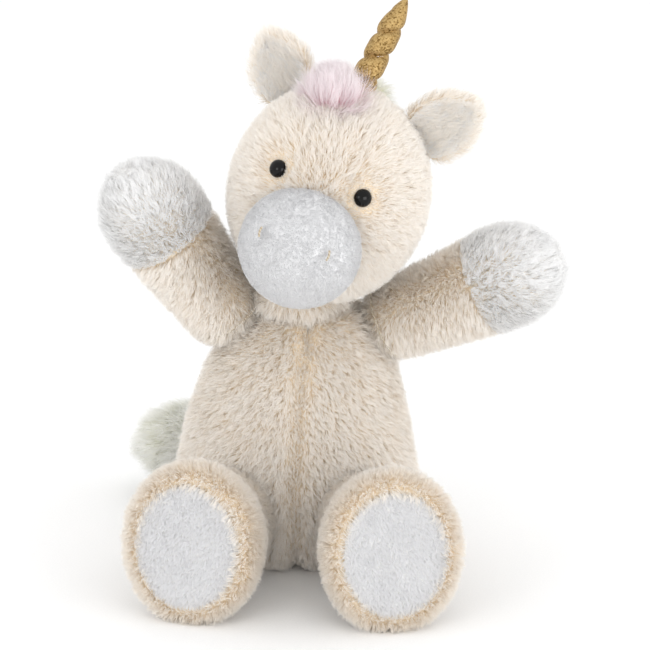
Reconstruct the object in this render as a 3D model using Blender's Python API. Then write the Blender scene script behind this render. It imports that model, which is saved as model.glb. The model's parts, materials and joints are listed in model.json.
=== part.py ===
"""Plush unicorn, sitting, as separate cut panels, fillings, threads and hard eyes.

Metres, +Z up. The toy sits on z = 0 and faces -Y. "left" is -X and "right" is +X,
as someone facing the toy sees it. The origin is the middle of the seat panel.
Every limb is modelled along +Z of its own pivot empty and turned to its pose there.
"""

from math import cos, pi, radians, sin, sqrt

import bmesh
import bpy
from mathutils import Matrix, Vector

MM = 0.001

# Cloth and fit
PANEL = 2.0 * MM          # backing cloth with the roots of its pile
VELOUR = 1.5 * MM
FIT = 1.3 * MM            # filling to cover
SEAM = 1.2 * MM           # panel edge to panel edge
THREAD = 0.6 * MM         # radius of a joining thread
CLEAR = 1.2 * MM          # what turns inside its hole
THREAD_OUT = 2.5 * MM     # a joining thread stands this far outside its limb
SOCKET_ROOM = 4.2 * MM    # limb root to the torso hole round it

# Torso: height, half width, half depth
TORSO_RINGS = (
    (2.6, 51, 42), (9, 59, 48), (22, 66, 54), (45, 69, 57), (62, 67.5, 55), (80, 63, 51),
    (98, 58, 47), (114, 53, 43), (128, 46.5, 38), (140, 38, 32), (149, 29, 26),
)
LEAN = 8 * MM             # how far the top of the torso leans towards +X
LEAN_FROM = 60 * MM
SEAT_WIDTH = 49 * MM
SEAT_DEPTH = 40 * MM
PELLET_TOP = 22 * MM

# Pivots and poses
NECK = Vector((3, -4, 158)) * MM
HEAD_TURN = radians(-12)
HEAD_TILT = radians(17)
SHOULDER = {"left": Vector((-40, -3, 146)) * MM, "right": Vector((54, -3, 141)) * MM}
ARM_AIM = {"left": Vector((-46.5, -17, 71)), "right": Vector((71, -17, 34))}
HIP = {"left": Vector((-39, -43, 35.8)) * MM, "right": Vector((41, -54, 35.8)) * MM}
LEG_AIM = {"left": Vector((-0.25, -0.965, 0.10)), "right": Vector((0.18, -0.98, 0.10))}
TAIL_ROOT = Vector((-5, 63, 40)) * MM

# Head: half width, half depth and half height about its middle, in the neck's frame
HEAD = Vector((54, 53, 61)) * MM
HEAD_MIDDLE = Vector((-2, -4.5, 65)) * MM
GUSSET = radians(17)      # half the angle that the centre gusset spans
NECK_PLUG = 14 * MM

# Muzzle
MUZZLE = Vector((35.5, 30, 34.5)) * MM
MUZZLE_MIDDLE = HEAD_MIDDLE + Vector((1.5, -57, -22.5)) * MM
NOSTRIL = Vector((20, 0, 7.5)) * MM

FORELOCK = Vector((-10.5, -16.5, 56)) * MM

# Eyes
EYE_RADIUS = 5.25 * MM
EYE_POST = 1.9 * MM
EYE_POST_LENGTH = 11 * MM
EYE_WASHER = 6.5 * MM
EYE_PLACE = (25.5 * MM, 14 * MM)   # across and up from the head's middle

# Horn
HORN_LENGTH = 61 * MM
HORN_BASE = 8.6 * MM
HORN_TIP = 5.6 * MM
HORN_TURNS = 3.8
HORN_GROOVE = 1.1 * MM
HORN_FOOT = HEAD_MIDDLE + Vector((-1.5, 3, 61.5)) * MM
HORN_AIM = Vector((0.15, 0.13, 0.97))

# Ears: length, half width, fold line and lean from the head's own vertical
EAR_LENGTH = 38 * MM
EAR_WIDTH = 19 * MM
EAR_FOOT = Vector((38.5, 8, 44)) * MM
EAR_LEAN = radians(42)

# Limbs
ARM_LENGTH = 110 * MM
ARM_ROOT = 19 * MM
ARM_WRIST = 24 * MM
HOOF_START = 60 * MM
LEG_ROOT = 25 * MM
FOOT_WIDTH = 36.5 * MM
FOOT_HEIGHT = 44 * MM
SOLE_AT = 86 * MM
SOLE_WIDTH = 29.5 * MM
SOLE_HEIGHT = 35.5 * MM
SOLE_RISE = 1.2 * MM
TAIL_LENGTH = 111 * MM
TAIL_RADIUS = 16 * MM
TAIL_SOCKET = 13.5 * MM

SIDES = {"left": -1, "right": 1}

for old in list(bpy.data.objects):
    bpy.data.objects.remove(old, do_unlink=True)


# ---------------------------------------------------------------- materials

def linear(hex_colour):
    """An sRGB hex colour as linear RGBA."""
    out = []
    for i in (0, 2, 4):
        c = int(hex_colour[i:i + 2], 16) / 255
        out.append(c / 12.92 if c <= 0.04045 else ((c + 0.055) / 1.055) ** 2.4)
    return (*out, 1.0)


def material(name, hex_colour, roughness, metallic=0.0):
    made = bpy.data.materials.new(name)
    made.use_nodes = True
    shader = made.node_tree.nodes["Principled BSDF"]
    shader.inputs["Base Color"].default_value = linear(hex_colour)
    shader.inputs["Roughness"].default_value = roughness
    shader.inputs["Metallic"].default_value = metallic
    made.diffuse_color = linear(hex_colour)
    return made


CREAM = material("cream_plush", "efe6d6", 0.95)
WHITE = material("white_plush", "f4f4f3", 0.95)
VELOUR_WHITE = material("white_velour", "f3f3f5", 0.9)
PINK = material("pink_pile", "f3cfd8", 0.95)
PASTEL = material("pastel_pile", "f1f2dc", 0.95)
LAME = material("gold_lame", "b08d4f", 0.35, 1.0)
EYE_BLACK = material("black_plastic", "0b0a0a", 0.12)
WASHER_WHITE = material("white_nylon", "e8e8e4", 0.5)
THREAD_BEIGE = material("beige_thread", "cdb79a", 0.8)
THREAD_GOLD = material("gold_thread", "8f6f35", 0.5)
FIBRE = material("fibre_filling", "fbfbf8", 1.0)
PELLET_CLOTH = material("pellet_bag_cloth", "d9d4c6", 0.9)


# ---------------------------------------------------------------- helpers

def new_object(name, mesh, finish, parent=None):
    made = bpy.data.objects.new(name, mesh)
    bpy.context.scene.collection.objects.link(made)
    made.data.materials.append(finish)
    made.parent = parent
    return made


def empty(name, place, turn=None, parent=None):
    """A pivot: whatever is parented to it turns about this point."""
    made = bpy.data.objects.new(name, None)
    bpy.context.scene.collection.objects.link(made)
    made.parent = parent
    made.matrix_local = Matrix.Translation(place) @ (turn or Matrix()).to_4x4()
    return made


def aim(direction, up):
    """The rotation whose local Z points along direction with local Y nearest to up."""
    z = direction.normalized()
    y = (up - z * up.dot(z)).normalized()
    x = y.cross(z)
    return Matrix((x, y, z)).transposed()


def steps(start, end, count):
    return [start + (end - start) * i / (count - 1) for i in range(count)]


def mesh_from(name, bm):
    bmesh.ops.remove_doubles(bm, verts=bm.verts, dist=1e-6)
    bmesh.ops.recalc_face_normals(bm, faces=bm.faces)
    mesh = bpy.data.meshes.new(name)
    bm.to_mesh(mesh)
    bm.free()
    mesh.shade_smooth()
    mesh.set_sharp_from_angle(angle=radians(40))
    return mesh


def loft(rings, around=True, start=None, end=None):
    """Quads from ring to ring; start and end are points that close the two ends."""
    bm = bmesh.new()
    rows = [[bm.verts.new(p) for p in ring] for ring in rings]
    count = len(rows[0])
    for low, high in zip(rows, rows[1:]):
        for i in range(count if around else count - 1):
            j = (i + 1) % count
            bm.faces.new((low[i], low[j], high[j], high[i]))
    for row, tip, flip in ((rows[0], start, True), (rows[-1], end, False)):
        if tip is None:
            continue
        middle = bm.verts.new(tip)
        for i in range(count if around else count - 1):
            j = (i + 1) % count
            bm.faces.new((row[j], row[i], middle) if flip else (row[i], row[j], middle))
    return bm


def face_outwards(bm, centre):
    """An open sheet's faces all turned away from a point inside it."""
    bmesh.ops.remove_doubles(bm, verts=bm.verts, dist=1e-6)
    bmesh.ops.recalc_face_normals(bm, faces=bm.faces)
    bm.normal_update()
    away = sum((f.calc_center_median() - centre).dot(f.normal) * f.calc_area() for f in bm.faces)
    if away < 0:
        bmesh.ops.reverse_faces(bm, faces=bm.faces)


def sheet(name, bm, finish, parent, thickness=PANEL, centre=Vector((0, 0, 0))):
    """A cut panel: its outer face is the given surface and its cloth lies inside it."""
    face_outwards(bm, centre)
    mesh = bpy.data.meshes.new(name)
    bm.to_mesh(mesh)
    bm.free()
    mesh.shade_smooth()
    mesh.set_sharp_from_angle(angle=radians(40))
    made = new_object(name, mesh, finish, parent)
    cloth = made.modifiers.new("cloth", "SOLIDIFY")
    cloth.thickness = thickness
    cloth.offset = -1
    cloth.use_even_offset = True
    return made


def solid(name, bm, finish, parent=None):
    return new_object(name, mesh_from(name, bm), finish, parent)


def ball(name, place, radius, finish, parent, around=16, rows=10):
    """A sphere or, with a vector radius, an ellipsoid."""
    size = radius if isinstance(radius, Vector) else Vector((radius, radius, radius))
    bm = bmesh.new()
    bmesh.ops.create_uvsphere(bm, u_segments=around, v_segments=rows, radius=1.0)
    bmesh.ops.transform(bm, matrix=Matrix.Translation(place) @ Matrix.Diagonal((*size, 1)), verts=bm.verts)
    return solid(name, bm, finish, parent)


def cutter_of(made):
    made.hide_render = True
    made.display_type = "WIRE"
    return made


def cut(made, *tools):
    for tool in tools:
        step = made.modifiers.new("cut_" + tool.name, "BOOLEAN")
        step.operation = "DIFFERENCE"
        step.solver = "EXACT"
        step.object = tool


def thread(name, points, finish, parent, radius=THREAD, closed=False):
    """A sewing thread along the given points."""
    curve = bpy.data.curves.new(name, "CURVE")
    curve.dimensions = "3D"
    curve.bevel_depth = radius
    curve.bevel_resolution = 0
    curve.use_fill_caps = True
    line = curve.splines.new("POLY")
    line.points.add(len(points) - 1)
    for point, place in zip(line.points, points):
        point.co = (*place, 1.0)
    line.use_cyclic_u = closed
    return new_object(name, curve, finish, parent)


def blend_rings(table, at):
    """Half width and half depth of the torso at a height, by smooth steps between its rings."""
    low = table[0]
    for high in table[1:]:
        if at <= high[0]:
            t = (at - low[0]) / (high[0] - low[0])
            return [low[k] + (high[k] - low[k]) * t for k in (1, 2)]
        low = high
    return table[-1][1:]


# ---------------------------------------------------------------- torso

def torso_point(angle, height, inset=0.0):
    """On the torso's skin; angle 0 is the toy's front, rising towards +X."""
    wide, deep = (v * MM - inset for v in blend_rings(TORSO_RINGS, height / MM))
    lean = LEAN * max(0.0, (height - LEAN_FROM) / (TORSO_RINGS[-1][0] * MM - LEAN_FROM)) ** 2
    return Vector((lean + wide * sin(angle), -deep * cos(angle), height))


def torso_panel(name, start, end, sockets):
    heights = [TORSO_RINGS[i][0] * MM for i in (0, 1, 2, 3, 5, 7, 8, 9, 10)]
    gap = SEAM / (80 * MM)
    angles = steps(start + gap, end - gap, 7)
    rings = [[torso_point(a, h) for a in angles] for h in heights]
    centre = Vector((0, 0, 0.07))
    made = sheet(name, loft(rings, around=False), CREAM, None, centre=centre)
    cut(made, *sockets)
    return made


def ellipse(wide, deep, height, count=20):
    return [Vector((wide * cos(a), deep * sin(a), height)) for a in steps(0, 2 * pi, count + 1)[:-1]]


def build_torso(sockets):
    torso_panel("torso_front_left_panel", -pi / 2, 0, sockets)
    torso_panel("torso_front_right_panel", 0, pi / 2, sockets)
    torso_panel("torso_back_right_panel", pi / 2, pi, sockets)
    torso_panel("torso_back_left_panel", pi, 3 * pi / 2, sockets)

    seat_rings = [ellipse(SEAT_WIDTH - 1 * MM, SEAT_DEPTH - 1 * MM, 0),
                  ellipse(SEAT_WIDTH, SEAT_DEPTH, 0.8 * MM),
                  ellipse(SEAT_WIDTH, SEAT_DEPTH, PANEL)]
    seat = loft(seat_rings, start=Vector((0, 0, 0)), end=Vector((0, 0, PANEL)))
    solid("seat_panel", seat, CREAM)

    inset = PANEL + FIT
    bag = [ellipse(SEAT_WIDTH * w, SEAT_DEPTH * w, h) for w, h in (
        (0.72, 3.0 * MM), (0.86, 6 * MM), (0.92, 12 * MM), (0.84, 18 * MM), (0.6, PELLET_TOP - 0.6 * MM))]
    sack = loft(bag, start=Vector((0, 0, 2.6 * MM)), end=Vector((0, 0, PELLET_TOP)))
    solid("pellet_bag", sack, PELLET_CLOTH)

    heights = [PELLET_TOP + 0.8 * MM] + [TORSO_RINGS[i][0] * MM for i in (3, 5, 7, 8, 9, 10)]
    angles = steps(0, 2 * pi, 21)[:-1]
    rings = [[torso_point(a, h, inset) for a in angles] for h in heights]
    filling = loft(rings, start=Vector((0, 0, heights[0])), end=Vector((LEAN, 0, heights[-1])))
    cut(solid("torso_stuffing", filling, FIBRE), *sockets)

    stitch = []
    for i in range(15):
        height = (66 + 3.4 * i) * MM
        side = 2.2 * MM * (1 if i % 2 else -1)
        place = torso_point(pi, height, -THREAD - 0.5 * MM)
        stitch.append(place + Vector((side, 0, 0)))
    thread("back_closing_stitch", stitch, THREAD_BEIGE, None)


# ---------------------------------------------------------------- head

def head_point(around, out, grow=0.0):
    """On the head's skin. around runs from the face (0) over the crown to the nape (pi);
    out is the angle towards +X."""
    size = HEAD + Vector((grow, grow, grow))
    return HEAD_MIDDLE + Vector((size.x * sin(out), -size.y * cos(out) * cos(around),
                                 size.z * cos(out) * sin(around)))


def head_form(name, grow, parent):
    return ball(name, HEAD_MIDDLE, HEAD + Vector((grow, grow, grow)), FIBRE, parent, 20, 12)


def build_head(neck):
    plug_hole = cutter_of(ball("cut_neck_hole", Vector((0, 0, 0)), NECK_PLUG + CLEAR, FIBRE, neck, 14, 10))
    form = cutter_of(head_form("cut_head_form", 1.0 * MM, neck))

    eye_frames = {}
    for side, sign in SIDES.items():
        across, up = EYE_PLACE
        drop = 1 - (across / HEAD.x) ** 2 - (up / HEAD.z) ** 2
        place = HEAD_MIDDLE + Vector((sign * across, -HEAD.y * sqrt(drop), up))
        away = Vector((sign * across / HEAD.x ** 2, -HEAD.y * sqrt(drop) / HEAD.y ** 2, up / HEAD.z ** 2))
        eye_frames[side] = (place, aim(away, Vector((0, 0, 1))))

    holes = []
    pockets = []
    for side, (place, turn) in eye_frames.items():
        frame = empty("eye_frame_" + side, place, turn, neck)
        hole = rod("cut_eye_hole_" + side, -6 * MM, 6 * MM, EYE_POST + 0.5 * MM, FIBRE, frame)
        pocket = rod("cut_eye_pocket_" + side, -14 * MM, 4 * MM, EYE_WASHER + 0.6 * MM, FIBRE, frame)
        holes.append(cutter_of(hole))
        pockets.append(cutter_of(pocket))
        build_eye(side, frame)

    for side, sign in SIDES.items():
        outs = steps(GUSSET + SEAM / (50 * MM), pi / 2 - radians(12), 5)
        arounds = steps(0, 2 * pi, 21)[:-1]
        rings = [[head_point(a, sign * o) for a in arounds] for o in outs]
        dome = loft(rings, end=head_point(0, sign * pi / 2))
        made = sheet(f"head_{side}_panel", dome, CREAM, neck, centre=HEAD_MIDDLE)
        cut(made, plug_hole, *holes)

    arounds = steps(radians(-48), radians(228), 20)
    outs = steps(-GUSSET, GUSSET, 3)
    strip = loft([[head_point(a, o) for o in outs] for a in arounds], around=False)
    cut(sheet("head_centre_gusset", strip, CREAM, neck, centre=HEAD_MIDDLE), plug_hole)

    filling = head_form("head_stuffing", -(PANEL + FIT), neck)
    cut(filling, plug_hole, *pockets)

    # the muzzle is a velour pouch whose back edge follows the head's curve
    pouch = ball("muzzle_pouch", MUZZLE_MIDDLE, MUZZLE, VELOUR_WHITE, neck, 20, 12)
    pouch.name = "muzzle_cover"
    inside = MUZZLE - Vector((1, 1, 1)) * VELOUR
    hollow = cutter_of(ball("cut_muzzle_hollow", MUZZLE_MIDDLE, inside, FIBRE, neck, 20, 12))
    cut(pouch, hollow, form)
    filling = ball("muzzle_stuffing", MUZZLE_MIDDLE, inside - Vector((1, 1, 1)) * FIT, FIBRE, neck, 14, 10)
    cut(filling, form)

    for side, sign in SIDES.items():
        across = sign * NOSTRIL.x
        reach = 1 - (across / MUZZLE.x) ** 2 - (NOSTRIL.z / MUZZLE.z) ** 2
        skin = -MUZZLE.y * sqrt(reach)
        points = []
        for i in range(7):
            t = i / 6 - 0.5
            bow = 0.6 * MM * (1 - 4 * t * t)
            place = Vector((across + sign * bow, skin - 1.7 * MM, NOSTRIL.z + 6 * MM * t))
            points.append(MUZZLE_MIDDLE + place)
        thread(f"nostril_stitch_{side}", points, THREAD_BEIGE, neck)

    tuft_size = Vector((12, 11, 11)) * MM
    tuft = ball("forelock", HEAD_MIDDLE + FORELOCK, tuft_size, PINK, neck, 14, 10)
    cut(tuft, form)
    build_mane(neck)
    build_horn(neck)
    for side in SIDES:
        build_ear(side, neck)


def rod(name, low, high, radius, finish, parent, around=12):
    rings = [[Vector((radius * cos(a), radius * sin(a), h)) for a in steps(0, 2 * pi, around + 1)[:-1]]
             for h in (low, high)]
    return solid(name, loft(rings, start=Vector((0, 0, low)), end=Vector((0, 0, high))), finish, parent)


def build_eye(side, frame):
    """A domed safety eye: its post goes through the panel into a washer inside."""
    turns = steps(0, 2 * pi, 15)[:-1]
    seat = 0.5 * MM
    profile = [(EYE_POST, -EYE_POST_LENGTH), (EYE_POST, seat), (EYE_RADIUS * 0.96, seat)]
    for a in steps(radians(12), radians(72), 4):
        profile.append((EYE_RADIUS * cos(a), seat + 3.9 * MM * sin(a)))
    rings = [[Vector((r * cos(t), r * sin(t), h)) for t in turns] for r, h in profile]
    eye = loft(rings, start=Vector((0, 0, -EYE_POST_LENGTH)), end=Vector((0, 0, seat + 3.9 * MM)))
    solid(f"eye_{side}", eye, EYE_BLACK, frame)
    low = -4.9 * MM
    profile = [(EYE_POST + 0.4 * MM, low), (EYE_WASHER, low), (EYE_WASHER, low + 1.4 * MM),
               (EYE_POST + 0.4 * MM, low + 1.4 * MM), (EYE_POST + 0.4 * MM, low)]
    rings = [[Vector((r * cos(t), r * sin(t), h)) for t in turns] for r, h in profile]
    solid(f"eye_washer_{side}", loft(rings), WASHER_WHITE, frame)


def build_mane(neck):
    """A long-pile strip set along the gusset from behind the horn to the nape."""
    rings = []
    for a in steps(radians(116), radians(204), 9):
        rings.append([head_point(a, radians(9) * cos(t), (0.6 + max(0.0, 6.5 * sin(t))) * MM)
                      for t in steps(0, 2 * pi, 11)[:-1]])
    middles = [sum(ring, Vector()) / len(ring) for ring in (rings[0], rings[-1])]
    solid("mane", loft(rings, start=middles[0], end=middles[1]), PASTEL, neck)


def horn_radius(t, turn, inset=0.0):
    """The stuffed horn's radius at t of its length: a taper with one helical groove."""
    taper = HORN_BASE + (HORN_TIP - HORN_BASE) * t
    wave = HORN_GROOVE
    if inset == 0:
        wave *= (0.5 + 0.5 * cos(2 * pi * HORN_TURNS * t - turn)) ** 2
    close = sqrt(max(0.0, 1 - max(0.0, (t - 0.86) / 0.145) ** 2))
    return (taper - wave - inset) * close


def build_horn(neck):
    pivot = empty("horn_pivot", HORN_FOOT, aim(HORN_AIM, Vector((0, 1, 0))), neck)
    turns = steps(0, 2 * pi, 11)[:-1]

    def horn_point(t, a, inset):
        r = horn_radius(t, a, inset)
        return Vector((r * cos(a), r * sin(a), t * HORN_LENGTH))

    def rings(inset, low, high, count):
        return [[horn_point(t, a, inset) for a in turns] for t in steps(low, high, count)]

    skin = loft(rings(0, 0.05, 0.99, 17), end=Vector((0, 0, HORN_LENGTH)))
    sheet("horn_cover", skin, LAME, pivot, thickness=1.0 * MM, centre=Vector((0, 0, HORN_LENGTH / 2)))
    inner = rings(2.0 * MM, 0.06, 0.93, 6)
    core = loft(inner, start=Vector((0, 0, 0.06 * HORN_LENGTH)), end=Vector((0, 0, 0.955 * HORN_LENGTH)))
    solid("horn_stuffing", core, FIBRE, pivot)
    winding = []
    for i in range(41):
        t = 0.10 + 0.76 * i / 40
        turn = 2 * pi * HORN_TURNS * t
        r = horn_radius(t, turn) + 0.85 * MM
        winding.append(Vector((r * cos(turn), r * sin(turn), t * HORN_LENGTH)))
    thread("horn_winding_thread", winding, THREAD_GOLD, pivot, radius=0.35 * MM)


def ear_sheet(name, finish, pivot, lift, shrink):
    """A leaf of cloth, hollowed towards the face, standing on its fold line."""
    rows = []
    for v in steps(0.0, 1.0, 6):
        belly = 0.62 + 0.38 * sin(pi * min(1.0, 0.15 + 0.75 * v))
        half = (EAR_WIDTH - shrink) * belly * sqrt(1 - 0.97 * v ** 3.2)
        row = []
        for u in steps(-1.0, 1.0, 6):
            hollow = 7.0 * MM * (1 - u * u) * (1 - 0.6 * v)
            row.append(Vector((half * u, hollow + lift, 2 * MM + (EAR_LENGTH - shrink) * v)))
        rows.append(row)
    leaf = loft(rows, around=False)
    sheet(name, leaf, finish, pivot, thickness=1.6 * MM, centre=Vector((0, -0.2, 0.02)))


def build_ear(side, neck):
    sign = SIDES[side]
    foot = HEAD_MIDDLE + Vector((sign * EAR_FOOT.x, EAR_FOOT.y, EAR_FOOT.z))
    out = Vector((sign * sin(EAR_LEAN), 0.18, cos(EAR_LEAN)))
    pivot = empty("ear_pivot_" + side, foot, aim(out, Vector((sign * -0.25, 1, 0))), neck)
    ear_sheet(f"ear_outer_{side}", CREAM, pivot, 1.0 * MM, 0)
    ear_sheet(f"ear_lining_{side}", WHITE, pivot, -1.0 * MM, 2.0 * MM)


# ---------------------------------------------------------------- arms

def arm_radius(s):
    """The arm's skin at a distance s from the shoulder pivot."""
    tube = ARM_ROOT + (ARM_WRIST - ARM_ROOT) * min(1.0, max(0.0, s / HOOF_START)) ** 1.2
    if s <= HOOF_START:
        return tube
    swell = 2.5 * MM * sin(pi * min(1.0, (s - HOOF_START) / (ARM_LENGTH - HOOF_START)))
    round_from = 76 * MM
    close = max(0.0, (s - round_from) / (ARM_LENGTH - round_from))
    return (tube + swell) * sqrt(max(0.0, 1 - close ** 2.2))


def circle(radius, height, start=0.0, end=2 * pi, count=21):
    return [Vector((radius * cos(a), radius * sin(a), height)) for a in steps(start, end, count)]


def build_arm(side):
    pivot = empty("shoulder_" + side, SHOULDER[side], aim(ARM_AIM[side], Vector((0, 1, 0))))
    ring = circle(ARM_ROOT + THREAD_OUT, 0)[:-1]
    thread(f"shoulder_seam_thread_{side}", ring, THREAD_BEIGE, pivot, closed=True)

    stops = steps(1 * MM, HOOF_START - SEAM / 2, 6)
    gap = SEAM / (2 * ARM_WRIST)
    middle = Vector((0, 0, HOOF_START / 2))
    for face, start in (("back", 0.0), ("front", pi)):
        rings = [circle(arm_radius(s), s, start + gap, start + pi - gap, 8) for s in stops]
        sheet(f"arm_{face}_panel_{side}", loft(rings, around=False), CREAM, pivot, centre=middle)

    stops = steps(HOOF_START + SEAM / 2, 0.985 * ARM_LENGTH, 7)
    rings = [circle(arm_radius(s), s, count=17)[:-1] for s in stops]
    hoof = loft(rings, end=Vector((0, 0, ARM_LENGTH)))
    sheet(f"hoof_cover_{side}", hoof, WHITE, pivot, centre=Vector((0, 0, 0.075)))

    inset = PANEL + FIT
    root = ARM_ROOT - inset
    core = [(root * sin(a), -root * cos(a)) for a in steps(radians(25), radians(75), 3)]
    core += [(arm_radius(s) - inset, s) for s in steps(4 * MM, 96 * MM, 5)]
    rings = [circle(r, s, count=13)[:-1] for r, s in core]
    filling = loft(rings, start=Vector((0, 0, -root)), end=Vector((0, 0, 101 * MM)))
    solid(f"arm_stuffing_{side}", filling, FIBRE, pivot)


# ---------------------------------------------------------------- legs

def leg_ring(s, inset=0.0, count=18, scale=1.0):
    """The leg's skin at a distance s from the hip pivot; the foot swells into an oval."""
    grow = min(1.0, max(0.0, (s - 34 * MM) / (40 * MM)))
    grow = grow * grow * (3 - 2 * grow)
    close = max(0.0, (s - 76 * MM) / (14 * MM))
    tuck = 1 - 0.16 * close ** 2
    shank = LEG_ROOT + 1.5 * MM * min(1.0, s / (30 * MM))
    wide = scale * ((shank * (1 - grow) + FOOT_WIDTH * grow) * tuck - inset)
    high = scale * ((shank * (1 - grow) + FOOT_HEIGHT * grow) * tuck - inset)
    return ellipse(wide, high, s, count)


def build_leg(side):
    pivot = empty("hip_" + side, HIP[side], aim(LEG_AIM[side], Vector((0, 0, 1))))
    ring = circle(LEG_ROOT + THREAD_OUT, 0)[:-1]
    thread(f"hip_seam_thread_{side}", ring, THREAD_BEIGE, pivot, closed=True)

    stops = [s * MM for s in (1, 36, 48, 60, 70, 77, 83, 89)]
    cover = loft([leg_ring(s) for s in stops])
    sheet(f"leg_cover_{side}", cover, CREAM, pivot, centre=Vector((0, 0, 0.05)))

    rise = Vector((0, SOLE_RISE, 0))
    profile = ((1.0, SOLE_AT - VELOUR), (1.0, SOLE_AT - 0.3 * MM), (0.96, SOLE_AT + 0.6 * MM))
    sole = [[p + rise for p in ellipse(SOLE_WIDTH * k, SOLE_HEIGHT * k, s)] for k, s in profile]
    made = loft(sole, start=Vector((0, 0, SOLE_AT - VELOUR)), end=Vector((0, 0, SOLE_AT + 2.2 * MM)))
    solid(f"sole_{side}", made, VELOUR_WHITE, pivot)

    inset = PANEL + FIT
    root = [(LEG_ROOT - inset) * v for v in (0.45, 0.75, 0.94)]
    drop = [-(LEG_ROOT - inset) * v for v in (0.88, 0.64, 0.3)]
    rings = [circle(r, s, count=19)[:-1] for r, s in zip(root, drop)]
    rings += [leg_ring(s, inset) for s in (6 * MM, 36 * MM, 48 * MM, 60 * MM, 72 * MM, 79 * MM)]
    rings += [leg_ring(SOLE_AT - VELOUR - 0.5 * MM, inset, scale=0.9)]
    end = Vector((0, 0, SOLE_AT - VELOUR - 0.5 * MM))
    filling = loft(rings, start=Vector((0, 0, inset - LEG_ROOT)), end=end)
    solid(f"leg_stuffing_{side}", filling, FIBRE, pivot)


# ---------------------------------------------------------------- tail

def tail_bend(t):
    """Heading of the tail at t of its length: it sweeps round to the toy's side."""
    return radians(58) - radians(64) * min(1.0, t * 1.25)


def build_tail():
    pivot = empty("tail_pivot", TAIL_ROOT)
    centres = [Vector((0, 0, 0))]
    count = 9
    for i in range(count):
        bend = tail_bend(i / count)
        step = Vector((-cos(bend), sin(bend), -0.09)) * (TAIL_LENGTH / count)
        centres.append(centres[-1] + step)

    def tail_rings(inset, first, last):
        rings = []
        for i in range(first, last + 1):
            t = i / count
            bend = tail_bend(t)
            along = Vector((-cos(bend), sin(bend), 0))
            side = Vector((sin(bend), cos(bend), 0))
            swell = 11 * MM + (TAIL_RADIUS - 11 * MM) * sin(pi / 2 * min(1.0, t / 0.6))
            close = sqrt(max(0.0, 1 - max(0.0, (t - 0.7) / 0.31) ** 2))
            r = swell * close - inset
            rings.append([centres[i] + side * (r * cos(a)) + Vector((0, 0, r * sin(a)))
                          for a in steps(0, 2 * pi, 15)[:-1]])
        return rings

    tip = centres[-1] + (centres[-1] - centres[-2]) * 0.15
    skin = loft(tail_rings(0, 0, count), end=tip)
    sheet("tail_cover", skin, PASTEL, pivot, centre=centres[count // 2])
    inner = tail_rings(PANEL + FIT, 0, count - 1)
    root = sum(inner[0], Vector()) / len(inner[0])
    start = root - (centres[1] - centres[0]) * 0.4
    core = loft(inner, start=start, end=centres[-1] + Vector((3.2, 0, 0)) * MM)
    solid("tail_stuffing", core, FIBRE, pivot)


# ---------------------------------------------------------------- assembly

def build_neck():
    """The neck's own fibre plug and the thread that gathers head and torso onto it."""
    turn = Matrix.Rotation(HEAD_TILT, 3, "Y") @ Matrix.Rotation(HEAD_TURN, 3, "Z")
    pivot = empty("neck_pivot", NECK, turn)
    ball("neck_plug", Vector((0, 0, 0)), NECK_PLUG, FIBRE, pivot, 12, 8)
    ring = circle(18.5 * MM, 0.5 * MM)[:-1]
    thread("neck_gathering_thread", ring, THREAD_BEIGE, pivot, closed=True)
    return pivot


def build():
    sockets = [ball("cut_neck_socket", NECK, NECK_PLUG + CLEAR, FIBRE, None, 14, 10),
               ball("cut_tail_socket", TAIL_ROOT, TAIL_SOCKET, FIBRE, None, 12, 8)]
    for side in SIDES:
        sockets.append(ball("cut_armhole_" + side, SHOULDER[side], ARM_ROOT + SOCKET_ROOM, FIBRE, None))
        sockets.append(ball("cut_leghole_" + side, HIP[side], LEG_ROOT + SOCKET_ROOM, FIBRE, None))
    build_torso([cutter_of(socket) for socket in sockets])
    neck = build_neck()
    build_head(neck)
    for side in SIDES:
        build_arm(side)
        build_leg(side)
    build_tail()


build()
bpy.context.view_layer.update()
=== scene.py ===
"""The plush unicorn's looks: stuffed covers with real pile, a wound gold horn and glossy eyes.

Metres, +Z up, the toy faces -Y, and "left" is -X. Every cover is stuffed by a short cloth
simulation, its seams are drawn in, and its pile is planted on it strand by strand.
"""

import json
from math import cos, pi, radians, sin

import bmesh
import bpy
import numpy as np
from mathutils import Matrix, Vector, noise
from mathutils.bvhtree import BVHTree
from mathutils.kdtree import KDTree


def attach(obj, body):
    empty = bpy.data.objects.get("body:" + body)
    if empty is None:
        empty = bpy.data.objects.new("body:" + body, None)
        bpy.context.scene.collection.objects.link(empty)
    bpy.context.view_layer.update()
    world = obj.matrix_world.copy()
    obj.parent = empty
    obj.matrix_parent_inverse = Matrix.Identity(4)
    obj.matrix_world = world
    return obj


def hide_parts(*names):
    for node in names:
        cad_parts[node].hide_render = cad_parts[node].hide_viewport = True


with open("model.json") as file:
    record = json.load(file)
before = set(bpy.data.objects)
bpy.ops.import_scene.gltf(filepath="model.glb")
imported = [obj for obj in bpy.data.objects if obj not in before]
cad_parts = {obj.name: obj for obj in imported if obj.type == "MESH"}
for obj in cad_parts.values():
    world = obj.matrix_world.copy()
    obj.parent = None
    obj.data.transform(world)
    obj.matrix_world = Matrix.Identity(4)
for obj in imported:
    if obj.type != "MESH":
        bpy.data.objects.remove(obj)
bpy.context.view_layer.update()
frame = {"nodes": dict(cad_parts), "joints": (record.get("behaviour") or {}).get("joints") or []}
bpy.ops.object.select_all(action="DESELECT")

MM = 0.001
NODES = frame["nodes"]
SIDES = {"left": -1, "right": 1}

# Camera
VIEW_DOWN = 16            # degrees below the horizon
VIEW_DISTANCE = 1.6
VIEW_CENTRE = Vector((0.017, -0.030, 0.1473))
LENS = 152.0

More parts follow.
